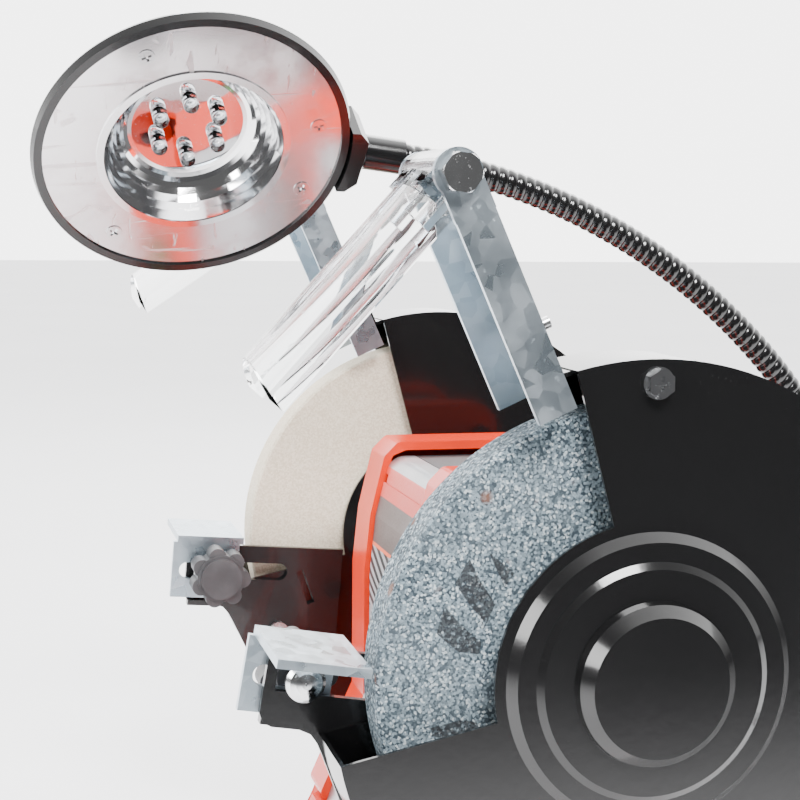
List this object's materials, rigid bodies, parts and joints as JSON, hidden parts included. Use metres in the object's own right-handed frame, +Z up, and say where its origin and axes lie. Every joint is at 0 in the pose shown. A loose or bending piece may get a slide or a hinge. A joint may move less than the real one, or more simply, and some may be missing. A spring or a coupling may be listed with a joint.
{
  "type": "bench grinder",
  "caption": "Double-ended bench grinder with guarded wheels, clear eye shields, adjustable tool rests and a gooseneck work lamp.",
  "frame": {"origin": "centre of the plane the rubber feet stand on, midway between the four bench bolt holes", "axes": "+X along the spindle to the operator's right, -Y towards the operator, +Z up"},
  "size_m": [0.273, 0.2841, 0.3139],
  "materials": {
    "orange_paint": "satin",
    "zinc": "zinc plated",
    "black_paint": "gloss",
    "steel": "bright",
    "rubber": "matt",
    "panel_grey": "satin",
    "label": "printed",
    "lamination": "dull",
    "copper": "enamelled",
    "plastic_black": "matt",
    "plastic_gloss": "gloss",
    "rocker_green": "gloss",
    "clear_plastic": "clear",
    "knob_grey": "matt",
    "wheel_white": "coarse",
    "wheel_grey": "coarse",
    "aluminium": "polished",
    "mirror": "mirror",
    "led": "clear"
  },
  "bodies": {
    "frame": {"base": "orange_paint", "bottom_plate": "zinc", "feet": "rubber", "bottom_screws": "steel", "bell_left": "orange_paint", "bell_right": "orange_paint", "neck_left": "black_paint", "neck_right": "black_paint", "tie_bolts": "steel", "neck_screws": "steel", "front_panel": "panel_grey", "label": "label", "rear_panel": "black_paint", "motor_shell": "black_paint", "stator": "lamination", "windings": "copper", "bearing_left": "steel", "bearing_right": "steel", "capacitor": "plastic_gloss", "switch_body": "plastic_black", "cord_gland": "plastic_black", "lamp_socket": "plastic_gloss", "guard_left": "black_paint", "guard_right": "black_paint", "cover_left": "black_paint", "cover_right": "black_paint", "cover_screws": "steel", "channel_left": "zinc", "channel_right": "zinc", "channel_screws": "steel", "pivot_bolts": "steel", "bracket_left": "black_paint", "bracket_right": "black_paint", "bracket_screws": "steel"},
    "spindle": {"rotor": "lamination", "shaft": "steel", "wheel_left": "wheel_white", "wheel_right": "wheel_grey", "flanges": "steel", "nuts": "steel"},
    "switch": {"rocker": "rocker_green"},
    "shield_left": {"shield_left": "clear_plastic"},
    "shield_right": {"shield_right": "clear_plastic"},
    "tool_rest_left": {"rest_left": "zinc", "clamp_left": "steel"},
    "tool_rest_right": {"rest_right": "zinc", "clamp_right": "steel"},
    "star_knob_left": {"knob_left": "knob_grey"},
    "star_knob_right": {"knob_right": "knob_grey"},
    "gooseneck_low": {"goose_low": "plastic_gloss"},
    "gooseneck_mid": {"goose_mid": "plastic_gloss"},
    "gooseneck_top": {"goose_top": "plastic_gloss", "ferrule": "plastic_gloss"},
    "lamp": {"lamp_block": "plastic_gloss", "lamp_shell": "plastic_gloss", "lamp_face": "aluminium", "reflector": "mirror", "led_disc": "mirror", "leds": "led", "face_screws": "steel"}
  },
  "joints": [
    {"name": "spindle_spin", "type": "hinge", "parent": "frame", "child": "spindle", "pos_m": [0, 0, 0.128], "axis": [1, 0, 0], "continuous": true},
    {"name": "switch_rock", "type": "hinge", "parent": "frame", "child": "switch", "pos_m": [0, -0.07335, 0.02424], "axis": [0, 0.4789, 0.8779], "range_deg": [-14, 0]},
    {"name": "shield_left_tilt", "type": "hinge", "parent": "frame", "child": "shield_left", "pos_m": [-0.11, -0.05717, 0.26519], "axis": [1, 0, 0], "range_deg": [-45, 30]},
    {"name": "shield_right_tilt", "type": "hinge", "parent": "frame", "child": "shield_right", "pos_m": [0.11, -0.05717, 0.26519], "axis": [1, 0, 0], "range_deg": [-60, 20]},
    {"name": "rest_left_slide", "type": "slide", "parent": "frame", "child": "tool_rest_left", "axis": [0, -0.9969, 0.0785], "range_m": [-0.0025, 0.0048]},
    {"name": "rest_right_slide", "type": "slide", "parent": "frame", "child": "tool_rest_right", "axis": [0, -0.9863, 0.165], "range_m": [-0.0025, 0.0048]},
    {"name": "knob_left_turn", "type": "hinge", "parent": "tool_rest_left", "child": "star_knob_left", "pos_m": [-0.084, -0.08977, 0.11661], "axis": [1, 0, 0], "range_deg": [-180, 180]},
    {"name": "knob_right_turn", "type": "hinge", "parent": "tool_rest_right", "child": "star_knob_right", "pos_m": [0.084, -0.09042, 0.12448], "axis": [1, 0, 0], "range_deg": [-180, 180]},
    {"name": "gooseneck_swivel", "type": "hinge", "parent": "frame", "child": "gooseneck_low", "pos_m": [0, 0.06541, 0.03427], "axis": [0, 0.5, 0.866], "range_deg": [-8, 8]},
    {"name": "gooseneck_bend_low", "type": "hinge", "parent": "gooseneck_low", "child": "gooseneck_mid", "pos_m": [0, 0.11805, 0.14352], "axis": [1, 0, 0], "range_deg": [-12, 8]},
    {"name": "gooseneck_bend_top", "type": "hinge", "parent": "gooseneck_mid", "child": "gooseneck_top", "pos_m": [0, 0.07732, 0.22074], "axis": [1, 0, 0], "range_deg": [-12, 10]},
    {"name": "lamp_turn", "type": "hinge", "parent": "gooseneck_top", "child": "lamp", "pos_m": [0, -0.05405, 0.27521], "axis": [0, -0.9921, 0.1253], "range_deg": [-35, 35]}
  ]
}
